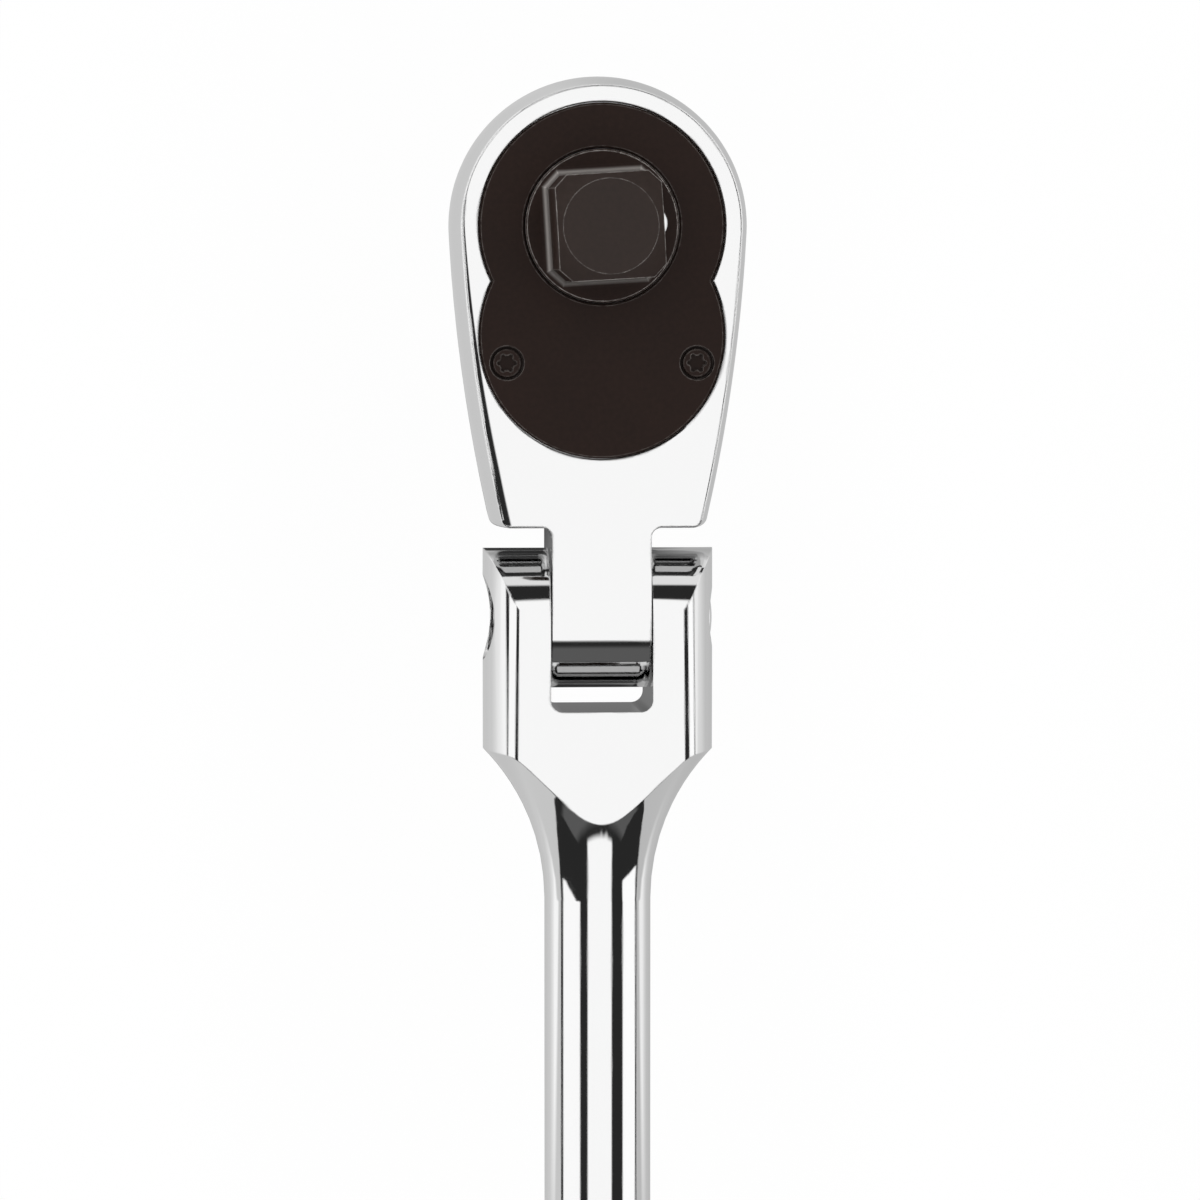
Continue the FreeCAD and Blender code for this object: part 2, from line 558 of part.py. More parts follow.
def pawl():
    """The two-ended rocking pawl, at rest with its left teeth in mesh."""
    low_z = POCKET_FLOOR_Z + PAWL_FACE_GAP
    high_z = LEDGE_Z - PAWL_FACE_GAP
    low_cut = low_z - OVERRUN
    high_cut = high_z + OVERRUN
    body = rod(PAWL_POCKET_RADIUS - PAWL_POCKET_GAP, low_z, high_z, 0, PAWL_CENTRE_Y)
    heel_y = PAWL_PIVOT_Y - PAWL_HEEL_LENGTH
    body = body.cut(block(-HEAD_RADIUS, HEAD_RADIUS, LEVER_Y - HEAD_RADIUS, heel_y, low_cut, high_cut))
    for side in (-1, 1):
        teeth = prism(gear_points(PAWL_TOOTH_CLEARANCE), low_cut, high_cut)
        body = body.cut(turned(teeth, side * PAWL_HALF_SWING_DEG, PAWL_PIVOT))
    relief_y = -GEAR_TIP_RADIUS - PAWL_RELIEF_GAP
    relief = block(-PAWL_RELIEF_HALF_WIDTH, PAWL_RELIEF_HALF_WIDTH, relief_y, 0, low_cut, high_cut)
    body = body.cut(relief)
    for tool in heel_cutters(low_cut, high_cut):
        body = body.cut(tool)
    for tool in retainer_cutters(low_cut):
        body = body.cut(tool)
    body = body.cut(rod(PAWL_PIN_RADIUS + PAWL_PIN_FIT, low_cut, high_cut, 0, PAWL_PIVOT_Y))
    body = largest_solid(body)
    return turned(body, -PAWL_HALF_SWING_DEG, PAWL_PIVOT)


def stem_places():
    """Where the lever's axis lies as the rocking pawl sees it, at both ends and in the middle."""
    swing = math.radians(PAWL_HALF_SWING_DEG)
    spacing = PAWL_PIVOT_Y - LEVER_Y
    return [(spacing * math.sin(side * swing), PAWL_PIVOT_Y - spacing * math.cos(side * swing))
            for side in (-1, 0, 1)]


def retainer_cutters(low_z):
    """A step under the heel, so that it clears the stem's retaining ring."""
    high_z = retainer_levels()[1] + PAWL_FACE_GAP
    return [rod(RETAINER_RADIUS + PAWL_RELIEF_GAP, low_z, high_z, x, y) for x, y in stem_places()]


def heel_cutters(low_z, high_z):
    """Room for the lever's stem and for the plunger tip, as both move past the rocking pawl."""
    swing = math.radians(PAWL_HALF_SWING_DEG)
    lever_swing = math.radians(LEVER_HALF_SWING_DEG)
    spacing = PAWL_PIVOT_Y - LEVER_Y
    stem_shift = spacing * math.sin(swing)
    stem_room = STEM_RADIUS + 2 * STEM_FIT
    tools = [rod(stem_room, low_z, high_z, x, y) for x, y in stem_places()]
    tip_reach = STEM_RADIUS + PLUNGER_STAND - PLUNGER_RADIUS
    side_x = stem_shift - tip_reach * math.sin(lever_swing + swing)
    side_y = -spacing * math.cos(swing) + tip_reach * math.cos(lever_swing + swing)
    rise = (-spacing + tip_reach) - side_y
    path_radius = (side_x ** 2 + rise ** 2) / (2 * rise)
    notch_y = PAWL_PIVOT_Y - spacing + tip_reach - path_radius
    tools.append(rod(path_radius + PLUNGER_RADIUS + PLUNGER_TIP_GAP, low_z, high_z, 0, notch_y))
    return tools


def largest_solid(shape):
    return max(shape.Solids, key=lambda solid: solid.Volume)


def pawl_pin():
    low_z = POCKET_FLOOR_Z - PAWL_PIN_SOCKET
    return rod(PAWL_PIN_RADIUS, low_z, LEDGE_Z, 0, PAWL_PIVOT_Y)


# ---- Reversing lever

def lever_paddle():
    """The thumb paddle and its round boss, with finger ribs across the paddle's end."""
    top_z = BACK_Z - LEVER_BACK_GAP
    offset = LEVER_BOSS_RADIUS - LEVER_END_RADIUS
    lean = math.asin(offset / LEVER_REACH)
    across, along = math.cos(lean), -math.sin(lean)
    end_y = LEVER_Y - LEVER_REACH
    flanks = [(LEVER_BOSS_RADIUS * across, LEVER_Y + LEVER_BOSS_RADIUS * along),
              (LEVER_END_RADIUS * across, end_y + LEVER_END_RADIUS * along),
              (-LEVER_END_RADIUS * across, end_y + LEVER_END_RADIUS * along),
              (-LEVER_BOSS_RADIUS * across, LEVER_Y + LEVER_BOSS_RADIUS * along)]
    paddle = prism(flanks, LEVER_BOTTOM_Z, top_z)
    paddle = paddle.fuse(rod(LEVER_END_RADIUS, LEVER_BOTTOM_Z, top_z, 0, end_y))
    paddle = paddle.fuse(rod(LEVER_BOSS_RADIUS, LEVER_BOTTOM_Z, top_z, 0, LEVER_Y)).removeSplitter()
    outer_edges = edges_where(paddle, lambda p: near(p.z, LEVER_BOTTOM_Z))
    paddle = paddle.makeFillet(LEVER_EDGE_ROUND, outer_edges)
    for rib in range(LEVER_RIB_COUNT):
        rib_y = end_y - LEVER_END_RADIUS / 2 + rib * LEVER_RIB_PITCH
        low_z = LEVER_BOTTOM_Z
        groove = Part.makeCylinder(LEVER_RIB_DEPTH, 2 * LEVER_BOSS_RADIUS,
                                   Vector(-LEVER_BOSS_RADIUS, rib_y, low_z), X_AXIS)
        paddle = paddle.cut(groove)
    return paddle


def lever_ring_z():
    """Level of the O-ring, halfway through the head's back wall."""
    return (POCKET_FLOOR_Z + LEVER_SEAT_Z) / 2


def reversing_lever():
    """The lever with its stem, at rest on the side that puts the pawl's left teeth in mesh."""
    boss = rod(LEVER_BOSS_RADIUS, BACK_Z - LEVER_BACK_GAP, LEVER_SEAT_Z - LEVER_SEAT_GAP, 0, LEVER_Y)
    stem = rod(STEM_RADIUS, LEVER_SEAT_Z - LEVER_SEAT_GAP, LEDGE_Z - STEM_TOP_GAP, 0, LEVER_Y)
    piece = lever_paddle().fuse(boss).fuse(stem).removeSplitter()
    ring_radius = lever_ring_radius()
    groove_half = O_RING_WIRE + O_RING_SQUEEZE_GAP
    piece = piece.cut(ring(STEM_RADIUS + OVERRUN, ring_radius - O_RING_WIRE,
                           lever_ring_z() - groove_half, lever_ring_z() + groove_half, 0, LEVER_Y))
    low_z, high_z = retainer_levels()
    piece = piece.cut(ring(STEM_RADIUS + OVERRUN, RETAINER_GROOVE_RADIUS, low_z, high_z, 0, LEVER_Y))
    hole_start = Vector(0, LEVER_Y - STEM_RADIUS + PLUNGER_HOLE_WALL, PAWL_MID_Z)
    hole_length = 2 * STEM_RADIUS - PLUNGER_HOLE_WALL + OVERRUN
    piece = piece.cut(Part.makeCylinder(PLUNGER_RADIUS + PLUNGER_FIT, hole_length, hole_start, Y_AXIS))
    return turned(piece, LEVER_HALF_SWING_DEG, LEVER_PIVOT)


def lever_ring_radius():
    """Centre-line radius of the O-ring between the stem and its bore."""
    return STEM_RADIUS + STEM_FIT - O_RING_SQUEEZE_GAP - O_RING_WIRE


def lever_o_ring():
    return Part.makeTorus(lever_ring_radius(), O_RING_WIRE, Vector(0, LEVER_Y, lever_ring_z()), Z_AXIS)


def retainer_levels():
    low_z = POCKET_FLOOR_Z + RETAINER_GAP
    return low_z, low_z + RETAINER_THICKNESS


def lever_retaining_ring():
    """An open ring in the stem's groove that keeps the lever from falling out."""
    low_z, high_z = retainer_levels()
    clip = ring(RETAINER_RADIUS, RETAINER_GROOVE_RADIUS, low_z, high_z, 0, LEVER_Y)
    half = RETAINER_MOUTH / 2
    mouth_y = LEVER_Y - RETAINER_RADIUS - OVERRUN
    mouth = block(-half, half, mouth_y, LEVER_Y, low_z - OVERRUN, high_z + OVERRUN)
    return turned(clip.cut(mouth), LEVER_HALF_SWING_DEG, LEVER_PIVOT)


def lever_plunger():
    """The round-nosed pin that presses on the pawl's heel."""
    nose_y = LEVER_Y + STEM_RADIUS + PLUNGER_STAND - PLUNGER_RADIUS
    length = PLUNGER_LENGTH - PLUNGER_RADIUS
    barrel = Part.makeCylinder(PLUNGER_RADIUS, length, Vector(0, nose_y - length, PAWL_MID_Z), Y_AXIS)
    nose = Part.makeSphere(PLUNGER_RADIUS, Vector(0, nose_y, PAWL_MID_Z))
    return turned(barrel.fuse(nose).removeSplitter(), LEVER_HALF_SWING_DEG, LEVER_PIVOT)


def lever_spring():
    """The coil behind the plunger, inside the lever's stem."""
    start_y = LEVER_Y - STEM_RADIUS + PLUNGER_HOLE_WALL + SPRING_GAP
    plunger_back = LEVER_Y + STEM_RADIUS + PLUNGER_STAND - PLUNGER_LENGTH
    length = plunger_back - SPRING_GAP - start_y
    coil_radius = PLUNGER_RADIUS - LEVER_SPRING_WIRE - SPRING_GAP
    coil = coil_spring(coil_radius, LEVER_SPRING_WIRE, length, Vector(0, start_y, PAWL_MID_Z), Y_AXIS)
    return turned(coil, LEVER_HALF_SWING_DEG, LEVER_PIVOT)


# ---- Handle and flex joint

def side_surface_x(z_from_middle):
    """How far out the yoke's rounded side lies at a height over its middle plane."""
    centre_x, radius = side_round()
    return centre_x + math.sqrt(radius ** 2 - z_from_middle ** 2)


def side_round():
    """Centre and radius of the arc through the yoke's flat edges and its widest point."""
    half_width, half_flat, half_thick = YOKE_WIDTH / 2, YOKE_FLAT_WIDTH / 2, YOKE_THICKNESS / 2
    centre_x = (half_width ** 2 - half_flat ** 2 - half_thick ** 2) / (2 * (half_width - half_flat))
    return centre_x, half_width - centre_x


def yoke_bar():
    """The yoke's section, two flats and two rounded sides, as a long bar."""
    half_width, half_flat, half_thick = YOKE_WIDTH / 2, YOKE_FLAT_WIDTH / 2, YOKE_THICKNESS / 2
    start_y = PIVOT_Y + EAR_END_RADIUS + OVERRUN

    def at(x, z):
        return Vector(x, start_y, MID_Z + z)

    edges = [
        Part.LineSegment(at(-half_flat, half_thick), at(half_flat, half_thick)).toShape(),
        Part.Arc(at(half_flat, half_thick), at(half_width, 0), at(half_flat, -half_thick)).toShape(),
        Part.LineSegment(at(half_flat, -half_thick), at(-half_flat, -half_thick)).toShape(),
        Part.Arc(at(-half_flat, -half_thick), at(-half_width, 0), at(-half_flat, half_thick)).toShape(),
    ]
    bar = Part.Face(Part.Wire(edges)).extrude(Vector(0, FLARE_END_Y - start_y, 0))
    flat_edges = edges_where(bar, lambda p: near(abs(p.x), half_flat) and near(abs(p.z - MID_Z), half_thick))
    return bar.makeFillet(YOKE_EDGE_ROUND, flat_edges)


def turned_profile(edges):
    """A solid of revolution about the handle's axis, from a closed profile in the plane z = MID_Z."""
    return Part.Face(Part.Wire(edges)).revolve(Vector(0, 0, MID_Z), Y_AXIS, 360)


def at_handle(radius, y):
    return Vector(radius, y, MID_Z)


def flare_envelope():
    """Everything inside the hollow round that runs from the yoke down to the shank."""
    rise = YOKE_WIDTH / 2 + OVERRUN
    centre_radius = SHANK_RADIUS + FLARE_RADIUS
    top_y = FLARE_END_Y + math.sqrt(FLARE_RADIUS ** 2 - (centre_radius - rise) ** 2)
    turn = math.atan2(top_y - FLARE_END_Y, centre_radius - rise) / 2
    middle = at_handle(centre_radius - FLARE_RADIUS * math.cos(turn),
                       FLARE_END_Y + FLARE_RADIUS * math.sin(turn))
    start_y = PIVOT_Y + EAR_END_RADIUS + OVERRUN
    edges = [
        Part.LineSegment(at_handle(0, FLARE_END_Y), at_handle(SHANK_RADIUS, FLARE_END_Y)).toShape(),
        Part.Arc(at_handle(SHANK_RADIUS, FLARE_END_Y), middle, at_handle(rise, top_y)).toShape(),
        Part.LineSegment(at_handle(rise, top_y), at_handle(rise, start_y)).toShape(),
        Part.LineSegment(at_handle(rise, start_y), at_handle(0, start_y)).toShape(),
        Part.LineSegment(at_handle(0, start_y), at_handle(0, FLARE_END_Y)).toShape(),
    ]
    return turned_profile(edges)


def shank_and_grip():
    """The round shank, the swell into the grip and the grip's rounded end, as one turned piece."""
    grip_start = HANDLE_END_Y + GRIP_LENGTH
    swell_start = grip_start + GRIP_SWELL_LENGTH
    swell_mid = (grip_start + swell_start) / 2
    step = GRIP_RADIUS - SHANK_RADIUS
    half_length = GRIP_SWELL_LENGTH / 2
    bend = (half_length ** 2 + (step / 2) ** 2) / step
    turn = math.asin(half_length / bend) / 2
    sag = bend * (1 - math.cos(turn))
    shift = bend * math.sin(turn)
    mid_radius = (GRIP_RADIUS + SHANK_RADIUS) / 2
    end_turn = math.radians(45)
    end_middle = at_handle(GRIP_RADIUS - GRIP_END_ROUND * (1 - math.cos(end_turn)),
                           HANDLE_END_Y + GRIP_END_ROUND * (1 - math.sin(end_turn)))
    edges = [
        Part.LineSegment(at_handle(0, FLARE_END_Y), at_handle(SHANK_RADIUS, FLARE_END_Y)).toShape(),
        Part.LineSegment(at_handle(SHANK_RADIUS, FLARE_END_Y),
                         at_handle(SHANK_RADIUS, swell_start)).toShape(),
        Part.Arc(at_handle(SHANK_RADIUS, swell_start), at_handle(SHANK_RADIUS + sag, swell_start - shift),
                 at_handle(mid_radius, swell_mid)).toShape(),
        Part.Arc(at_handle(mid_radius, swell_mid), at_handle(GRIP_RADIUS - sag, grip_start + shift),
                 at_handle(GRIP_RADIUS, grip_start)).toShape(),
        Part.LineSegment(at_handle(GRIP_RADIUS, grip_start),
                         at_handle(GRIP_RADIUS, HANDLE_END_Y + GRIP_END_ROUND)).toShape(),
        Part.Arc(at_handle(GRIP_RADIUS, HANDLE_END_Y + GRIP_END_ROUND), end_middle,
                 at_handle(GRIP_RADIUS - GRIP_END_ROUND, HANDLE_END_Y)).toShape(),
        Part.LineSegment(at_handle(GRIP_RADIUS - GRIP_END_ROUND, HANDLE_END_Y),
                         at_handle(0, HANDLE_END_Y)).toShape(),
        Part.LineSegment(at_handle(0, HANDLE_END_Y), at_handle(0, FLARE_END_Y)).toShape(),
    ]
    bar = turned_profile(edges)
    for ring_y in (grip_start - GRIP_RING_INSET, HANDLE_END_Y + GRIP_RING_INSET):
        bar = bar.cut(grip_ring(ring_y))
    return bar


def grip_ring(centre_y):
    """A round-bottomed ring turned into the grip beside its knurl."""
    half = GRIP_RING_WIDTH / 2
    round_radius = (half ** 2 + GRIP_RING_DEPTH ** 2) / (2 * GRIP_RING_DEPTH)
    centre = Vector(0, centre_y, MID_Z)
    return Part.makeTorus(GRIP_RADIUS - GRIP_RING_DEPTH + round_radius, round_radius, centre, Y_AXIS)


def slot_cutter():
    """The slot between the ears, with rounded corners at its floor."""
    top_y = PIVOT_Y + EAR_END_RADIUS + 2 * OVERRUN
    low_z = MID_Z - YOKE_THICKNESS
    high_z = MID_Z + YOKE_THICKNESS
    tool = block(-SLOT_HALF_WIDTH, SLOT_HALF_WIDTH, SLOT_FLOOR_Y, top_y, low_z, high_z)
    corner_edges = edges_where(tool, lambda p: near(p.y, SLOT_FLOOR_Y) and near(abs(p.x), SLOT_HALF_WIDTH))
    return tool.makeFillet(SLOT_CORNER, corner_edges)


def handle():
    """The yoke, shank and grip, forged and turned in one piece."""
    ears = cross_rod(EAR_END_RADIUS, -YOKE_WIDTH, YOKE_WIDTH)
    low_z = MID_Z - YOKE_THICKNESS
    high_z = MID_Z + YOKE_THICKNESS
    below = block(-YOKE_WIDTH, YOKE_WIDTH, FLARE_END_Y - OVERRUN, PIVOT_Y, low_z, high_z)
    yoke = yoke_bar().common(ears.fuse(below)).common(flare_envelope())
    piece = yoke.fuse(shank_and_grip()).removeSplitter()
    outside = side_surface_x(0) + OVERRUN
    head_seat = SLOT_HALF_WIDTH + PIVOT_EAR_WALL
    seat_end = SLOT_HALF_WIDTH + WASHER_SEAT_DEPTH
    thread_mouth = side_surface_x(PIVOT_RADIUS + PIVOT_MOUTH_CHAMFER)
    mouth_radius = PIVOT_RADIUS + PIVOT_MOUTH_CHAMFER
    cuts = [
        slot_cutter(),
        cross_rod(PIVOT_HEAD_RADIUS + PIVOT_HEAD_CLEARANCE, -outside, -head_seat),
        cross_rod(PIVOT_RADIUS + PIVOT_RUNNING_FIT, -outside, 0),
        cross_rod(PIVOT_RADIUS, 0, outside),
        cross_rod(WASHER_SEAT_RADIUS, -seat_end, seat_end),
        Part.makeCone(PIVOT_RADIUS, mouth_radius, PIVOT_MOUTH_CHAMFER,
                      Vector(thread_mouth - PIVOT_MOUTH_CHAMFER, PIVOT_Y, MID_Z), X_AXIS),
        cross_rod(mouth_radius, thread_mouth, outside),
    ]
    for tool in cuts:
        piece = piece.cut(tool)
    return piece


def pivot_screw():
    """The flex joint's shouldered screw: socket head in the left ear, domed end in the right one."""
    head_seat = -(SLOT_HALF_WIDTH + PIVOT_EAR_WALL)
    head_top = head_seat - PIVOT_HEAD_LENGTH
    end_x = side_surface_x(PIVOT_RADIUS) - PIVOT_END_SINK
    head = cross_rod(PIVOT_HEAD_RADIUS, head_top, head_seat)
    shank = cross_rod(PIVOT_RADIUS, head_seat, end_x)
    dome_radius = (PIVOT_RADIUS ** 2 + PIVOT_END_DOME ** 2) / (2 * PIVOT_END_DOME)
    dome = Part.makeSphere(dome_radius, Vector(end_x + PIVOT_END_DOME - dome_radius, PIVOT_Y, MID_Z))
    dome = dome.common(cross_rod(PIVOT_RADIUS, end_x, end_x + OVERRUN))
    corner = HEX_KEY / math.sqrt(3)
    points = [Vector(head_top - OVERRUN, PIVOT_Y + corner * math.cos(math.radians(60 * side)),
                     MID_Z + corner * math.sin(math.radians(60 * side))) for side in range(6)]
    socket = Part.Face(Part.makePolygon(points + [points[0]])).extrude(Vector(HEX_KEY_DEPTH + OVERRUN, 0, 0))
    screw = head.fuse(shank).fuse(dome).removeSplitter()
    rim = edges_where(screw, lambda p: near(p.x, head_top))
    screw = screw.makeFillet(PIVOT_HEAD_CLEARANCE, rim)
    return screw.cut(socket)


def friction_washer(side):
    """A dished spring washer in the ear's seat, with its inner rim towards the tongue."""
    inner_radius = PIVOT_RADIUS + PIVOT_RUNNING_FIT
    outer_radius = WASHER_SEAT_RADIUS - WASHER_CLEARANCE
    near_x = TONGUE_WIDTH / 2 + WASHER_CLEARANCE
    far_x = SLOT_HALF_WIDTH + WASHER_SEAT_DEPTH
    points = [Vector(near_x, inner_radius, 0), Vector(near_x + WASHER_THICKNESS, inner_radius, 0),
              Vector(far_x, outer_radius, 0), Vector(far_x - WASHER_THICKNESS, outer_radius, 0)]
    profile = Part.Face(Part.makePolygon(points + [points[0]]))
    washer = profile.revolve(Vector(0, 0, 0), X_AXIS, 360)
    if side < 0:
        washer = washer.mirror(Vector(0, 0, 0), X_AXIS)
    washer.translate(Vector(0, PIVOT_Y, MID_Z))
    return washer


def export(name, shape):
    """Writes one node, and prints what it holds."""
    solids = shape.Solids
    kept = solids[0] if len(solids) == 1 else Part.makeCompound(solids)
    kept.exportStep(os.path.join("parts", name + ".step"))
    volume = sum(solid.Volume for solid in solids)
    print(f"{name}: {len(solids)} solid, valid {kept.isValid()}, {volume:.2f} mm3")


def main():
    os.makedirs("parts", exist_ok=True)
    nodes = {
        "handle": handle(),
        "pivot_screw": pivot_screw(),
        "friction_washer_left": friction_washer(-1),
        "friction_washer_right": friction_washer(1),
        "head_body": head_body(),
        "cover_plate": cover_plate(),
        "cover_screw_left": cover_screw(-1),
        "cover_screw_right": cover_screw(1),
        "drive_gear": drive_gear(),
        "hub_o_ring": hub_o_ring(),
        "thrust_washer": thrust_washer(),
        "detent_ball": detent_ball(),
        "detent_spring": detent_spring(),
        "pawl": pawl(),
        "pawl_pin": pawl_pin(),
        "reversing_lever": reversing_lever(),
        "lever_o_ring": lever_o_ring(),
        "lever_retaining_ring": lever_retaining_ring(),
        "lever_plunger": lever_plunger(),
        "lever_spring": lever_spring(),
    }
    for name, shape in nodes.items():
        export(name, shape)


main()
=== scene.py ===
"""Flex-head ratchet wrench: finishes, the knurl on its grip, a pale floor and a soft studio."""
import json
import math

import bpy
from mathutils import Matrix, Vector


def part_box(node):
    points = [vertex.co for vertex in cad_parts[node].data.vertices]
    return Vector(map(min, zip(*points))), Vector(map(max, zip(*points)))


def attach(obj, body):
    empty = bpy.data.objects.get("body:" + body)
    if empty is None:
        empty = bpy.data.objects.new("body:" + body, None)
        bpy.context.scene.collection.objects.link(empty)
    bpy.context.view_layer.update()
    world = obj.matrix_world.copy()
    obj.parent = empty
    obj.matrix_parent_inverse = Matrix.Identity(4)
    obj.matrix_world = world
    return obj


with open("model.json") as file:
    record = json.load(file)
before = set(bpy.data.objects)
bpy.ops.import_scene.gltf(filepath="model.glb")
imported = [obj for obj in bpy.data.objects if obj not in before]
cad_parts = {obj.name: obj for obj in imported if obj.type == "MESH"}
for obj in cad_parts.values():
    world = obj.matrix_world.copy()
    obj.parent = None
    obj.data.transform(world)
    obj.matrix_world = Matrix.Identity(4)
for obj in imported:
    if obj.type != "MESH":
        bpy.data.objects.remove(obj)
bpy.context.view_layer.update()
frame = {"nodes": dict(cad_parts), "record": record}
MM = 0.001

# The kinds of node that come up most.
MATH = "ShaderNodeMath"
VECTOR_MATH = "ShaderNodeVectorMath"
REMAP = "ShaderNodeMapRange"
NOISE = "ShaderNodeTexNoise"


# ---- Small helpers

def srgb(hex_colour):
    """A colour written as sRGB hex, such as #2c2320, as the linear RGBA that a socket takes."""
    channels = [int(hex_colour[i:i + 2], 16) / 255 for i in (1, 3, 5)]
    linear = [c / 12.92 if c <= 0.04045 else ((c + 0.055) / 1.055) ** 2.4 for c in channels]
    return (*linear, 1.0)


def add_node(tree, kind, inputs=None, **settings):
    """Adds one node. Settings are its properties; inputs are constants or other nodes' sockets."""
    node = tree.nodes.new(kind)
    for name, value in settings.items():
        setattr(node, name, value)
    for name, value in (inputs or {}).items():
        if isinstance(value, bpy.types.NodeSocket):
            tree.links.new(value, node.inputs[name])
        else:
            node.inputs[name].default_value = value
    return node


def new_material(name):
    """An empty material: its tree, its Principled shader and its Object coordinates."""
    material = bpy.data.materials.new(name)
    material.use_nodes = True
    tree = material.node_tree
    shader = tree.nodes["Principled BSDF"]
    place = add_node(tree, "ShaderNodeTexCoord").outputs["Object"]
    return material, tree, shader, place


# ---- Finishes

# The long arc that bounds the head's face on its left, from the head's widest point down to its
# shoulder.
ARC_TILT = math.radians(3)
HEAD_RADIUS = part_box("head_body")[1][0]
SHOULDER_STEP = 0.7 * MM     # the shoulders are this much narrower than the yoke, each side
EAR_GAP = 2.05 * MM          # from the yoke's ears up to the shoulders
SHOULDER_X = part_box("handle")[1][0] - SHOULDER_STEP
SHOULDER_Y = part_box("handle")[1][1] + EAR_GAP
# The shoulder's place along the arc's tilted axis, and from it the arc that meets both ends.
ALONG = SHOULDER_X * math.cos(ARC_TILT) - SHOULDER_Y * math.sin(ARC_TILT)
SIDE_RADIUS = ((SHOULDER_X ** 2 + SHOULDER_Y ** 2 + HEAD_RADIUS ** 2 - 2 * HEAD_RADIUS * ALONG)
               / (2 * (HEAD_RADIUS - ALONG)))
LEFT_ARC_CENTRE = ((SIDE_RADIUS - HEAD_RADIUS) * math.cos(ARC_TILT),
                   (SIDE_RADIUS - HEAD_RADIUS) * math.sin(ARC_TILT), 0.0)
FACE_INSET = 0.8 * MM        # the face lies this far inside the widest outline
LEFT_ARC_RADIUS = SIDE_RADIUS - FACE_INSET

# The roll-off of the face along that arc: its width at Y = 0 and from ROLL_FULL_Y on, how steeply
# it ends, and the stretch of Y over which it fades out, short of the yoke.
ROLL_WIDTHS = (0.9 * MM, 2.0 * MM)
ROLL_FULL_Y = -22 * MM
ROLL_SLOPE = 0.42
ROLL_FADE_Y = (-28.0 * MM, -27.5 * MM)

# Lines of polishing and grinding, and how many times longer they are than wide.
HAIRLINE_LENGTH = 6 * MM
HAIRLINE_STRETCH = 40.0
GRINDING_STRETCH = 12.0


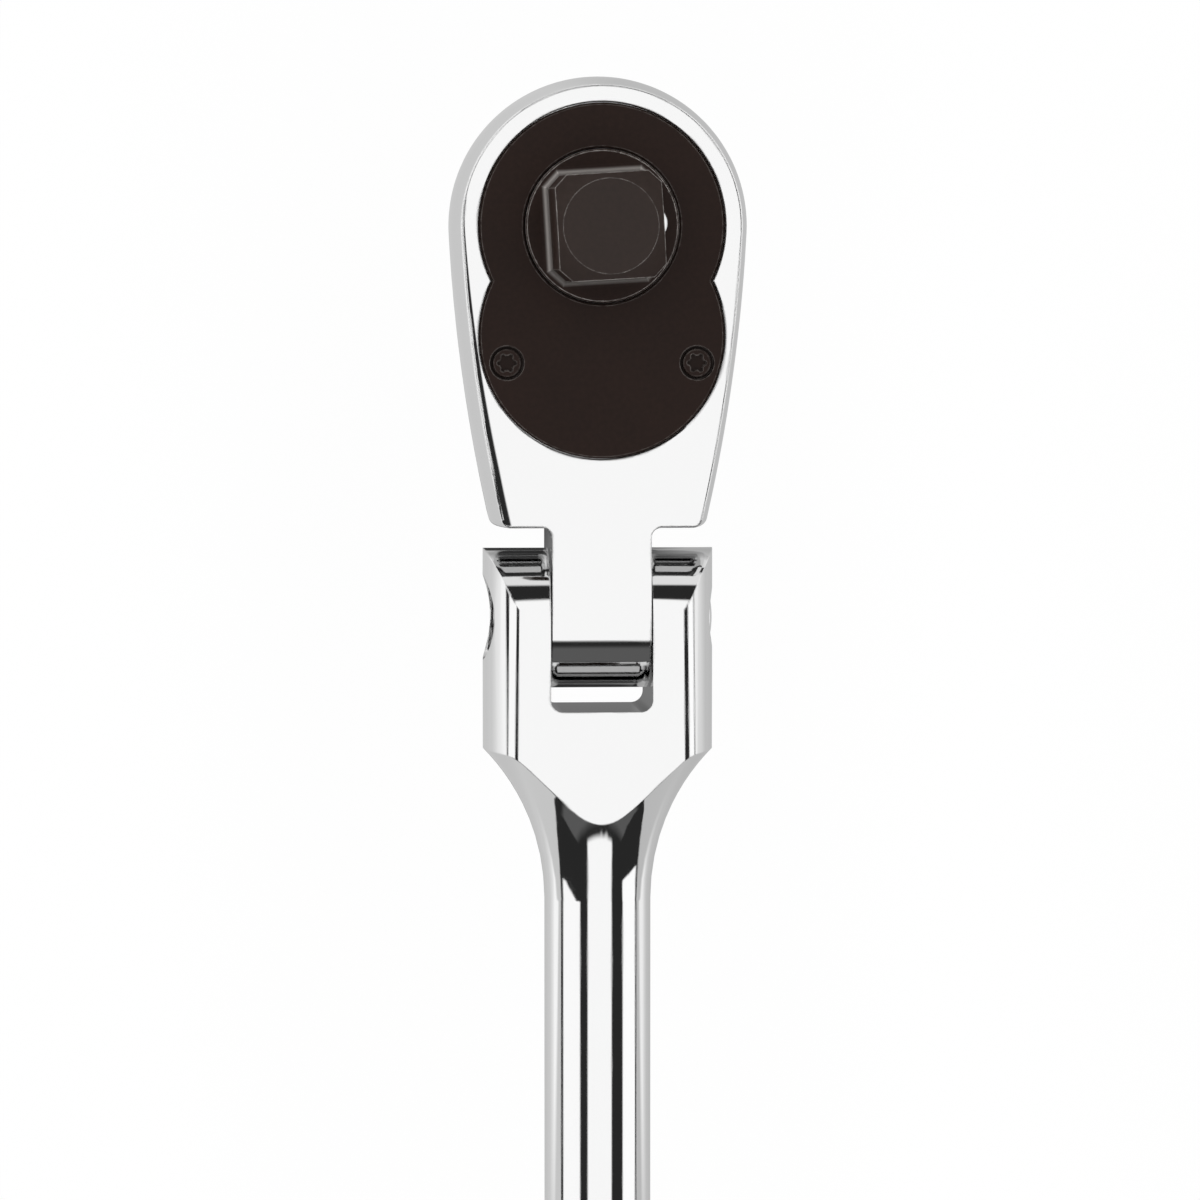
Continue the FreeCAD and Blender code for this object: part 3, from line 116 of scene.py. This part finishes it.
def polished_chrome():
    """Nickel-chrome plate over polished steel: a clear mirror with buffing haze and hairlines."""
    material, tree, shader, place = new_material("polished_chrome_plate")
    shader.inputs["Base Color"].default_value = srgb("#d3d3d3")
    shader.inputs["Metallic"].default_value = 1.0
    # Buffing haze in patches about 8 mm wide.
    haze = add_node(tree, NOISE, {"Vector": place, "Scale": 1 / (8 * MM), "Detail": 3.0})
    rough = add_node(tree, REMAP, {"Value": haze.outputs["Fac"], "From Min": 0.35, "From Max": 0.75,
                                   "To Min": 0.03, "To Max": 0.07})
    tree.links.new(rough.outputs["Result"], shader.inputs["Roughness"])
    # Buffing rounds the edges a little, here more and there less.
    wear = add_node(tree, NOISE, {"Vector": place, "Scale": 1 / (5 * MM), "Detail": 2.0})
    radius = add_node(tree, REMAP, {"Value": wear.outputs["Fac"], "From Min": 0.4, "From Max": 0.7,
                                    "To Min": 0.08 * MM, "To Max": 0.4 * MM})
    rounded = add_node(tree, "ShaderNodeBevel", {"Radius": radius.outputs["Result"]}, samples=4)
    # Hairlines from the polishing wheel run across the tool, about 0.15 mm apart.
    stretch = add_node(tree, "ShaderNodeMapping", {"Vector": place,
                                                   "Scale": (1.0, HAIRLINE_STRETCH, 1.0)})
    lines = add_node(tree, NOISE, {"Vector": stretch.outputs["Vector"],
                                   "Scale": 1 / HAIRLINE_LENGTH, "Detail": 2.0})
    # Buffing rolls the head's face off towards its left edge, and more so towards the shoulder.
    parts = add_node(tree, "ShaderNodeSeparateXYZ", {"Vector": place}).outputs
    flat_place = add_node(tree, "ShaderNodeCombineXYZ", {"X": parts["X"], "Y": parts["Y"]})
    from_centre = add_node(tree, VECTOR_MATH, {0: flat_place.outputs["Vector"], 1: LEFT_ARC_CENTRE},
                           operation="SUBTRACT")
    reach = add_node(tree, VECTOR_MATH, {0: from_centre.outputs["Vector"]}, operation="LENGTH")
    width = add_node(tree, REMAP, {"Value": parts["Y"], "From Min": 0.0, "From Max": ROLL_FULL_Y,
                                   "To Min": ROLL_WIDTHS[0], "To Max": ROLL_WIDTHS[1]})
    start = add_node(tree, MATH, {0: LEFT_ARC_RADIUS, 1: width.outputs["Result"]},
                     operation="SUBTRACT")
    slope = add_node(tree, REMAP, {"Value": reach.outputs["Value"],
                                   "From Min": start.outputs["Value"], "From Max": LEFT_ARC_RADIUS,
                                   "To Max": ROLL_SLOPE})
    normal_parts = add_node(tree, "ShaderNodeSeparateXYZ",
                            {"Vector": rounded.outputs["Normal"]}).outputs
    on_face = add_node(tree, REMAP, {"Value": normal_parts["Z"], "From Min": 0.95,
                                     "From Max": 0.99})
    on_head = add_node(tree, REMAP, {"Value": parts["Y"], "From Min": ROLL_FADE_Y[0],
                                     "From Max": ROLL_FADE_Y[1],
                                     "To Max": on_face.outputs["Result"]})
    amount = add_node(tree, MATH, {0: slope.outputs["Result"], 1: on_head.outputs["Result"]},
                      operation="MULTIPLY")
    outwards = add_node(tree, VECTOR_MATH, {0: from_centre.outputs["Vector"]},
                        operation="NORMALIZE")
    push = add_node(tree, VECTOR_MATH, {0: outwards.outputs["Vector"],
                                        "Scale": amount.outputs["Value"]}, operation="SCALE")
    rolled = add_node(tree, VECTOR_MATH, {0: rounded.outputs["Normal"], 1: push.outputs["Vector"]},
                      operation="ADD")
    rolled_unit = add_node(tree, VECTOR_MATH, {0: rolled.outputs["Vector"]}, operation="NORMALIZE")
    bump = add_node(tree, "ShaderNodeBump", {"Height": lines.outputs["Fac"], "Strength": 0.02,
                                             "Distance": 0.01 * MM,
                                             "Normal": rolled_unit.outputs["Vector"]})
    tree.links.new(bump.outputs["Normal"], shader.inputs["Normal"])
    return material


# Heights over the hub's face, for the rubbed parts of the phosphate. Each pair is where a rub
# starts and where it is full.
STANDS_OUT_Z = (-0.4 * MM, -0.1 * MM)        # from the head's face up to the hub's
SQUARE_END_Z = (8 * MM, 11 * MM)             # towards the end of the square
FOOT_Z = (0.02 * MM, 0.15 * MM)              # the round at the square's foot, from its lower side
FOOT_TOP_Z = (1.0 * MM, 0.7 * MM)            # and from its upper side


def black_phosphate():
    """Oiled manganese phosphate: a warm near-black with a soft sheen and rubbed edges."""
    material, tree, shader, place = new_material("black_phosphate_steel")
    shader.inputs["Specular IOR Level"].default_value = 0.1
    # Crystals of the coating, drawn in cells of 0.5 mm so that they show.
    crystals = add_node(tree, NOISE, {"Vector": place, "Scale": 1 / (0.5 * MM), "Detail": 4.0})
    clouds = add_node(tree, NOISE, {"Vector": place, "Scale": 1 / (7 * MM), "Detail": 3.0})
    mottle = add_node(tree, "ShaderNodeMix", {"Factor": 0.5, "A": crystals.outputs["Fac"],
                                              "B": clouds.outputs["Fac"]}, data_type="FLOAT")
    depth = add_node(tree, REMAP, {"Value": mottle.outputs["Result"], "From Min": 0.3,
                                   "From Max": 0.7})
    coat = add_node(tree, "ShaderNodeMix", {"Factor": depth.outputs["Result"], "A": srgb("#241712"),
                                            "B": srgb("#2f211c")}, data_type="RGBA")
    # Bare steel shows through in specks where hands and sockets rub the edges.
    rounded = add_node(tree, "ShaderNodeBevel", {"Radius": 0.15 * MM}, samples=4)
    flat = add_node(tree, "ShaderNodeNewGeometry").outputs["Normal"]
    apart = add_node(tree, VECTOR_MATH, {0: rounded.outputs["Normal"], 1: flat},
                     operation="DOT_PRODUCT")
    edge = add_node(tree, REMAP, {"Value": apart.outputs["Value"], "From Min": 0.998,
                                  "From Max": 0.95})
    specks = add_node(tree, REMAP, {"Value": crystals.outputs["Fac"], "From Min": 0.35,
                                    "From Max": 0.6, "To Min": 0.25, "To Max": 1.0})
    # Sockets rub what stands over the head's face most: its edges, the square's end and the round
    # at its foot.
    height = add_node(tree, "ShaderNodeSeparateXYZ", {"Vector": place}).outputs["Z"]
    exposed = add_node(tree, REMAP, {"Value": height, "From Min": STANDS_OUT_Z[0],
                                     "From Max": STANDS_OUT_Z[1], "To Min": 0.3, "To Max": 1.0})
    edge_rub = add_node(tree, MATH, {0: edge.outputs["Result"], 1: exposed.outputs["Result"]},
                        operation="MULTIPLY")
    end_rub = add_node(tree, REMAP, {"Value": height, "From Min": SQUARE_END_Z[0],
                                     "From Max": SQUARE_END_Z[1], "To Max": 0.04})
    foot = add_node(tree, REMAP, {"Value": height, "From Min": FOOT_Z[0], "From Max": FOOT_Z[1]})
    over_foot = add_node(tree, REMAP, {"Value": height, "From Min": FOOT_TOP_Z[0],
                                       "From Max": FOOT_TOP_Z[1], "To Max": 0.55})
    foot_rub = add_node(tree, MATH, {0: foot.outputs["Result"], 1: over_foot.outputs["Result"]},
                        operation="MULTIPLY")
    flat_rub = add_node(tree, MATH, {0: end_rub.outputs["Result"], 1: foot_rub.outputs["Value"]},
                        operation="ADD")
    rubbed = add_node(tree, MATH, {0: edge_rub.outputs["Value"], 1: specks.outputs["Result"],
                                   2: flat_rub.outputs["Value"]}, operation="MULTIPLY_ADD",
                      use_clamp=True)
    colour = add_node(tree, "ShaderNodeMix", {"Factor": rubbed.outputs["Value"],
                                              "A": coat.outputs["Result"], "B": srgb("#bdb8b4")},
                      data_type="RGBA")
    tree.links.new(colour.outputs["Result"], shader.inputs["Base Color"])
    tree.links.new(rubbed.outputs["Value"], shader.inputs["Metallic"])
    rough = add_node(tree, REMAP, {"Value": mottle.outputs["Result"], "From Min": 0.3,
                                   "From Max": 0.7, "To Min": 0.36, "To Max": 0.5})
    tree.links.new(rough.outputs["Result"], shader.inputs["Roughness"])
    bump = add_node(tree, "ShaderNodeBump", {"Height": crystals.outputs["Fac"], "Strength": 0.15,
                                             "Distance": 0.02 * MM})
    tree.links.new(bump.outputs["Normal"], shader.inputs["Normal"])
    return material


def steel(name, hex_colour, low, high, line_width):
    """Uncoated steel between two roughnesses, with grinding lines of this width along Y."""
    material, tree, shader, place = new_material(name)
    shader.inputs["Base Color"].default_value = srgb(hex_colour)
    shader.inputs["Metallic"].default_value = 1.0
    stretch = add_node(tree, "ShaderNodeMapping", {"Vector": place,
                                                   "Scale": (GRINDING_STRETCH, 1.0, 1.0)})
    lines = add_node(tree, NOISE, {"Vector": stretch.outputs["Vector"],
                                   "Scale": 1 / (GRINDING_STRETCH * line_width), "Detail": 3.0})
    rough = add_node(tree, REMAP, {"Value": lines.outputs["Fac"], "From Min": 0.3, "From Max": 0.7,
                                   "To Min": low, "To Max": high})
    tree.links.new(rough.outputs["Result"], shader.inputs["Roughness"])
    bump = add_node(tree, "ShaderNodeBump", {"Height": lines.outputs["Fac"], "Strength": 0.1,
                                             "Distance": 0.01 * MM})
    tree.links.new(bump.outputs["Normal"], shader.inputs["Normal"])
    return material


def nitrile_rubber():
    """Moulded nitrile rubber: matt black with a faint bloom."""
    material, tree, shader, place = new_material("nitrile_rubber")
    bloom = add_node(tree, NOISE, {"Vector": place, "Scale": 1 / (0.6 * MM), "Detail": 3.0})
    colour = add_node(tree, "ShaderNodeMix", {"Factor": bloom.outputs["Fac"], "A": srgb("#0b0b0b"),
                                              "B": srgb("#262524")}, data_type="RGBA")
    tree.links.new(colour.outputs["Result"], shader.inputs["Base Color"])
    shader.inputs["Roughness"].default_value = 0.6
    return material


CHROME = polished_chrome()
PHOSPHATE = black_phosphate()
BRIGHT = steel("bright_ball_steel", "#dcdcdc", low=0.05, high=0.12, line_width=0.1 * MM)
HARDENED = steel("hardened_tool_steel", "#8f8a85", low=0.22, high=0.4, line_width=0.12 * MM)
SPRING = steel("drawn_spring_steel", "#9d9a96", low=0.2, high=0.34, line_width=0.1 * MM)
RUBBER = nitrile_rubber()

FINISH_OF_SLOT = {
    "polished_chrome": CHROME,
    "black_phosphate_steel": PHOSPHATE,
    "bright_steel": BRIGHT,
    "hardened_steel": HARDENED,
    "spring_steel": SPRING,
    "seal_rubber": RUBBER,
}


def finish_cad_nodes():
    """Puts each CAD node's finish on its own material slots."""
    slot_of = {part["node"]: part["material_slot"] for part in frame["record"]["subparts"]}
    for name, node in frame["nodes"].items():
        for holder in node.material_slots:
            holder.material = FINISH_OF_SLOT[slot_of[name]]


# ---- Knurl on the grip

KNURL_AROUND = 38
KNURL_HEIGHT = 0.28 * MM
KNURL_SINK = 0.05 * MM       # the diamonds' feet lie this far inside the grip
KNURL_INSET = 8.2 * MM       # from the handle's end to the first row, past the turned ring
KNURL_LENGTH = 79.5 * MM
GRIP_RADIUS = 7.1 * MM

# What the knurl's node group is given, and of what kind it is.
KNURL_SOCKETS = {"Around": "Int", "Rows": "Int", "Radius": "Float", "Pitch": "Float",
                 "Height": "Float", "First row": "Float", "Axis height": "Float",
                 "Material": "Material"}


def knurl_group():
    """Geometry Nodes that stand rows of four-sided pyramids round a bar along Y."""
    group = bpy.data.node_groups.new("diamond_knurl", "GeometryNodeTree")
    for name, kind in KNURL_SOCKETS.items():
        group.interface.new_socket(name, in_out="INPUT", socket_type=f"NodeSocket{kind}")
    group.interface.new_socket("Geometry", in_out="OUTPUT", socket_type="NodeSocketGeometry")
    given = add_node(group, "NodeGroupInput").outputs
    count = add_node(group, MATH, {0: given["Around"], 1: given["Rows"]}, operation="MULTIPLY")
    index = add_node(group, "GeometryNodeInputIndex").outputs["Index"]
    row_share = add_node(group, MATH, {0: index, 1: given["Around"]}, operation="DIVIDE")
    row = add_node(group, MATH, {0: row_share.outputs["Value"]}, operation="FLOOR")
    # Every second row is shifted by half a diamond.
    shift = add_node(group, MATH, {0: row.outputs["Value"], 1: 0.5}, operation="MULTIPLY")
    column = add_node(group, MATH, {0: index, 1: shift.outputs["Value"]}, operation="ADD")
    turns = add_node(group, MATH, {0: column.outputs["Value"], 1: given["Around"]},
                     operation="DIVIDE")
    angle = add_node(group, MATH, {0: turns.outputs["Value"], 1: math.tau}, operation="MULTIPLY")
    sine = add_node(group, MATH, {0: angle.outputs["Value"]}, operation="SINE")
    cosine = add_node(group, MATH, {0: angle.outputs["Value"]}, operation="COSINE")
    x = add_node(group, MATH, {0: sine.outputs["Value"], 1: given["Radius"]}, operation="MULTIPLY")
    z = add_node(group, MATH, {0: cosine.outputs["Value"], 1: given["Radius"],
                               2: given["Axis height"]}, operation="MULTIPLY_ADD")
    half_pitch = add_node(group, MATH, {0: given["Pitch"], 1: 0.5}, operation="MULTIPLY")
    y = add_node(group, MATH, {0: row.outputs["Value"], 1: half_pitch.outputs["Value"],
                               2: given["First row"]}, operation="MULTIPLY_ADD")
    spot = add_node(group, "ShaderNodeCombineXYZ", {"X": x.outputs["Value"],
                                                    "Y": y.outputs["Value"],
                                                    "Z": z.outputs["Value"]})
    points = add_node(group, "GeometryNodePoints", {"Count": count.outputs["Value"],
                                                    "Position": spot.outputs["Vector"]})
    diamond = add_node(group, "GeometryNodeMeshCone", {"Vertices": 4,
                                                       "Radius Bottom": half_pitch.outputs["Value"],
                                                       "Depth": given["Height"]}, fill_type="NGON")
    lean = add_node(group, "ShaderNodeCombineXYZ", {"Y": angle.outputs["Value"]})
    copies = add_node(group, "GeometryNodeInstanceOnPoints", {"Points": points.outputs["Points"],
                                                              "Instance": diamond.outputs["Mesh"],
                                                              "Rotation": lean.outputs["Vector"]})
    solid = add_node(group, "GeometryNodeRealizeInstances",
                     {"Geometry": copies.outputs["Instances"]})
    finished = add_node(group, "GeometryNodeSetMaterial", {"Geometry": solid.outputs["Geometry"],
                                                           "Material": given["Material"]})
    add_node(group, "NodeGroupOutput", {"Geometry": finished.outputs["Geometry"]})
    return group


def make_knurl():
    """The grip's diamond knurl, between its two turned rings, as one mesh that rides on it."""
    low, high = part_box("handle")
    pitch = math.tau * GRIP_RADIUS / KNURL_AROUND
    group = knurl_group()
    maker = bpy.data.objects.new("knurl_maker", bpy.data.meshes.new("knurl_maker"))
    bpy.context.scene.collection.objects.link(maker)
    modifier = maker.modifiers.new("knurl", "NODES")
    modifier.node_group = group
    values = {"Around": KNURL_AROUND, "Rows": int(KNURL_LENGTH / (pitch / 2)),
              "Radius": GRIP_RADIUS - KNURL_SINK, "Pitch": pitch,
              "Height": KNURL_HEIGHT + KNURL_SINK, "First row": low[1] + KNURL_INSET,
              "Axis height": (low[2] + high[2]) / 2, "Material": CHROME}
    for socket in group.interface.items_tree:
        if socket.in_out == "INPUT":
            modifier[socket.identifier] = values[socket.name]
    depsgraph = bpy.context.evaluated_depsgraph_get()
    mesh = bpy.data.meshes.new_from_object(maker.evaluated_get(depsgraph), depsgraph=depsgraph)
    bpy.data.objects.remove(maker)
    mesh.name = "grip_knurl"
    knurl = bpy.data.objects.new("grip_knurl", mesh)
    bpy.context.scene.collection.objects.link(knurl)
    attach(knurl, "handle")


# ---- Camera, floor and studio

FACE_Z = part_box("head_body")[1][2]
AIM = Vector((-0.2 * MM, -33.8 * MM, FACE_Z))
CAMERA_PLACE = Vector((-40.8 * MM, 0.2 * MM, 577.5 * MM))
FIELD_WIDTH = 108.6 * MM
FLOOR_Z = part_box("head_body")[0][2] - 60 * MM      # low enough for the flexed head to clear it
FLOOR_HALF = 12.0

# The floor as the chrome sees it: a painted shadow under the tool and a painted glow that rises
# away from it. Each pair is where a change starts and where it is full, and distances are taken
# from the tool's axis, which ends at Y = 0.
# Painted shadow levels under the tool, then painted glow levels beside it and further off.
SHADOW_UNDER_HANDLE = 0.2
SHADOW_UNDER_HEAD = 0.05
SHADOW_CHANGE_Y = (-40 * MM, -30 * MM)
LEFT_OF_TOOL = 0.64
RIGHT_OF_TOOL = 0.52
SIDE_CHANGE_X = (-10 * MM, 10 * MM)
TOOL_EDGE = (8 * MM, 14 * MM)
NEAR_GAIN = 0.2
NEAR_END = 70 * MM
FAR_GAIN = 0.54
FAR_STRETCH = (80 * MM, 180 * MM)
FLARE_END_Y = (-125 * MM, -105 * MM)

# The floor as the eye sees it: its own even glow, and that glow's share.
GLOW = 1.08
GLOW_SHARE = 0.85


def make_camera():
    """Looks down on the drive face, a little from the left and from the head's end, with +Y up."""
    data = bpy.data.cameras.new("camera")
    camera = bpy.data.objects.new("camera", data)
    bpy.context.scene.collection.objects.link(camera)
    back = (CAMERA_PLACE - AIM).normalized()
    right = Vector((0, 1, 0)).cross(back).normalized()
    up = back.cross(right)
    turn = Matrix((right, up, back)).transposed()
    camera.matrix_world = Matrix.Translation(CAMERA_PLACE) @ turn.to_4x4()
    data.angle = 2 * math.atan(FIELD_WIDTH / 2 / (CAMERA_PLACE - AIM).length)
    data.clip_start = 10 * MM
    bpy.context.scene.camera = camera


def make_floor():
    """A pale seamless floor, evenly bright to the eye; in the chrome a painted glow with a painted
    shadow under the tool.
    """
    data = bpy.data.meshes.new("floor")
    corners = [(x, y, FLOOR_Z) for x, y in ((-FLOOR_HALF, -FLOOR_HALF), (FLOOR_HALF, -FLOOR_HALF),
                                           (FLOOR_HALF, FLOOR_HALF), (-FLOOR_HALF, FLOOR_HALF))]
    data.from_pydata(corners, [], [(0, 1, 2, 3)])
    floor = bpy.data.objects.new("floor", data)
    bpy.context.scene.collection.objects.link(floor)
    material, tree, shader, place = new_material("pale_seamless_paper")
    shader.inputs["Base Color"].default_value = srgb("#dcdcdc")
    shader.inputs["Roughness"].default_value = 0.9
    to_eye = add_node(tree, "ShaderNodeEmission", {"Color": srgb("#ffffff"), "Strength": GLOW})
    # In the chrome the paper shows a painted shadow under the tool, and a painted glow that
    # brightens with the distance from its axis.
    parts = add_node(tree, "ShaderNodeSeparateXYZ", {"Vector": place}).outputs
    ahead = add_node(tree, MATH, {0: parts["Y"], 1: 0.0}, operation="MAXIMUM")
    aside = add_node(tree, "ShaderNodeCombineXYZ", {"X": parts["X"], "Y": ahead.outputs["Value"]})
    distance = add_node(tree, VECTOR_MATH, {0: aside.outputs["Vector"]}, operation="LENGTH")
    painted_shadow = add_node(tree, REMAP, {"Value": parts["Y"], "From Min": SHADOW_CHANGE_Y[0],
                                        "From Max": SHADOW_CHANGE_Y[1], "To Min": SHADOW_UNDER_HANDLE,
                                        "To Max": SHADOW_UNDER_HEAD})
    right_dims = add_node(tree, REMAP, {"Value": parts["X"], "From Min": SIDE_CHANGE_X[0],
                                        "From Max": SIDE_CHANGE_X[1], "To Min": LEFT_OF_TOOL,
                                        "To Max": RIGHT_OF_TOOL})
    beside = add_node(tree, REMAP, {"Value": distance.outputs["Value"], "From Min": TOOL_EDGE[0],
                                    "From Max": TOOL_EDGE[1],
                                    "To Min": painted_shadow.outputs["Result"],
                                    "To Max": right_dims.outputs["Result"]})
    further = add_node(tree, REMAP, {"Value": distance.outputs["Value"], "From Min": TOOL_EDGE[1],
                                     "From Max": NEAR_END, "To Max": NEAR_GAIN})
    # Past the end of the painted flare the glow stays grey however far off it lies.
    past_flare = add_node(tree, REMAP, {"Value": parts["Y"], "From Min": FLARE_END_Y[0],
                                        "From Max": FLARE_END_Y[1], "To Max": FAR_GAIN})
    far_off = add_node(tree, REMAP, {"Value": distance.outputs["Value"], "From Min": FAR_STRETCH[0],
                                     "From Max": FAR_STRETCH[1],
                                     "To Max": past_flare.outputs["Result"]})
    rising = add_node(tree, MATH, {0: beside.outputs["Result"], 1: further.outputs["Result"]},
                      operation="ADD")
    level = add_node(tree, MATH, {0: rising.outputs["Value"], 1: far_off.outputs["Result"]},
                     operation="ADD")
    # The painted shadow and glow, as the chrome sees the floor.
    painted_shade_and_glow = add_node(tree, "ShaderNodeEmission", {"Color": srgb("#ffffff"),
                                                    "Strength": level.outputs["Value"]})
    seen = add_node(tree, "ShaderNodeLightPath").outputs["Is Camera Ray"]
    lit = add_node(tree, "ShaderNodeMixShader", {0: GLOW_SHARE, 1: shader.outputs["BSDF"],
                                                 2: to_eye.outputs["Emission"]})
    mix = add_node(tree, "ShaderNodeMixShader", {0: seen, 1: painted_shade_and_glow.outputs["Emission"],
                                                 2: lit.outputs["Shader"]})
    tree.links.new(mix.outputs["Shader"], tree.nodes["Material Output"].inputs["Surface"])
    data.materials.append(material)


# Soft boxes round the tool: which way each lean is measured, its limits and soft edge in degrees,
# and its strength. A lean of 0 is overhead and 90 is level with the tool.
OVERHEAD = {"across": (-25, 27, 1.5), "along": (-41, 32, 1.5), "strength": 1.42}
SIDE_BOXES = (
    ("across", -84, -42, 1.5, 1.45),
    ("across", 53, 86, 1.5, 1.5),
    ("along", 57, 80, 1.5, 1.1),
    ("along", -78, -47, 4.0, 0.14),
)
LEFT_START = -0.27           # where the side boxes start, as Y over X
RIGHT_START = -0.35
SIDE_END = 1.6               # where they end, as Y over X
SIDE_SWITCH = 0.01           # the left start turns into the right one over this much X, each way
DARK_ROOM = 0.03


def make_studio():
    """A soft box overhead with dark gaps round it, and white and grey panels on four sides."""
    world = bpy.data.worlds.new("studio")
    world.use_nodes = True
    bpy.context.scene.world = world
    tree = world.node_tree
    towards = add_node(tree, "ShaderNodeTexCoord").outputs["Generated"]
    parts = add_node(tree, "ShaderNodeSeparateXYZ", {"Vector": towards}).outputs
    wide = add_node(tree, MATH, {0: parts["X"]}, operation="ABSOLUTE").outputs["Value"]
    long = add_node(tree, MATH, {0: parts["Y"]}, operation="ABSOLUTE").outputs["Value"]
    # The side boxes reach from a little behind the tool's cross axis, less so on the left, to well
    # ahead of it.
    side = add_node(tree, REMAP, {"Value": parts["X"], "From Min": -SIDE_SWITCH,
                                  "From Max": SIDE_SWITCH, "To Min": LEFT_START,
                                  "To Max": RIGHT_START})
    start = add_node(tree, MATH, {0: wide, 1: side.outputs["Result"]}, operation="MULTIPLY")
    end = add_node(tree, MATH, {0: wide, 1: SIDE_END}, operation="MULTIPLY")
    past = add_node(tree, MATH, {0: parts["Y"], 1: start.outputs["Value"]},
                    operation="GREATER_THAN")
    short = add_node(tree, MATH, {0: parts["Y"], 1: end.outputs["Value"]}, operation="LESS_THAN")
    beside = add_node(tree, MATH, {0: past.outputs["Value"], 1: short.outputs["Value"]},
                      operation="MULTIPLY")
    ahead = add_node(tree, MATH, {0: long, 1: wide}, operation="GREATER_THAN")
    sector = {"across": beside.outputs["Value"], "along": ahead.outputs["Value"]}
    lean = {}
    for way, part in (("across", parts["X"]), ("along", parts["Y"])):
        turn = add_node(tree, MATH, {0: part, 1: parts["Z"]}, operation="ARCTAN2")
        lean[way] = add_node(tree, MATH, {0: turn.outputs["Value"]},
                             operation="DEGREES").outputs["Value"]

    overhead_limits = [(lean[way], *OVERHEAD[way]) for way in ("across", "along")]
    boxes = [(OVERHEAD["strength"], overhead_limits, None)]
    boxes += [(strength, [(lean[way], low, high, soft)], sector[way])
              for way, low, high, soft, strength in SIDE_BOXES]
    total = DARK_ROOM
    for strength, limits, mask in boxes:
        light = strength
        for angle, low, high, soft in limits:
            rise = add_node(tree, REMAP, {"Value": angle, "From Min": low - soft,
                                          "From Max": low + soft})
            fall = add_node(tree, REMAP, {"Value": angle, "From Min": high + soft,
                                          "From Max": high - soft})
            inside = add_node(tree, MATH, {0: rise.outputs["Result"], 1: fall.outputs["Result"]},
                              operation="MULTIPLY")
            light = add_node(tree, MATH, {0: inside.outputs["Value"], 1: light},
                             operation="MULTIPLY").outputs["Value"]
        if mask is not None:
            light = add_node(tree, MATH, {0: light, 1: mask}, operation="MULTIPLY").outputs["Value"]
        total = add_node(tree, MATH, {0: total, 1: light}, operation="MAXIMUM").outputs["Value"]
    studio = add_node(tree, "ShaderNodeCombineColor", {"Red": total, "Green": total, "Blue": total})
    seen = add_node(tree, "ShaderNodeLightPath").outputs["Is Camera Ray"]
    view = add_node(tree, "ShaderNodeMix", {"Factor": seen, "A": studio.outputs["Color"],
                                            "B": srgb("#ffffff")}, data_type="RGBA")
    tree.links.new(view.outputs["Result"], tree.nodes["Background"].inputs["Color"])


bpy.context.scene.view_settings.view_transform = "Standard"
make_camera()
make_floor()
make_studio()
finish_cad_nodes()
make_knurl()
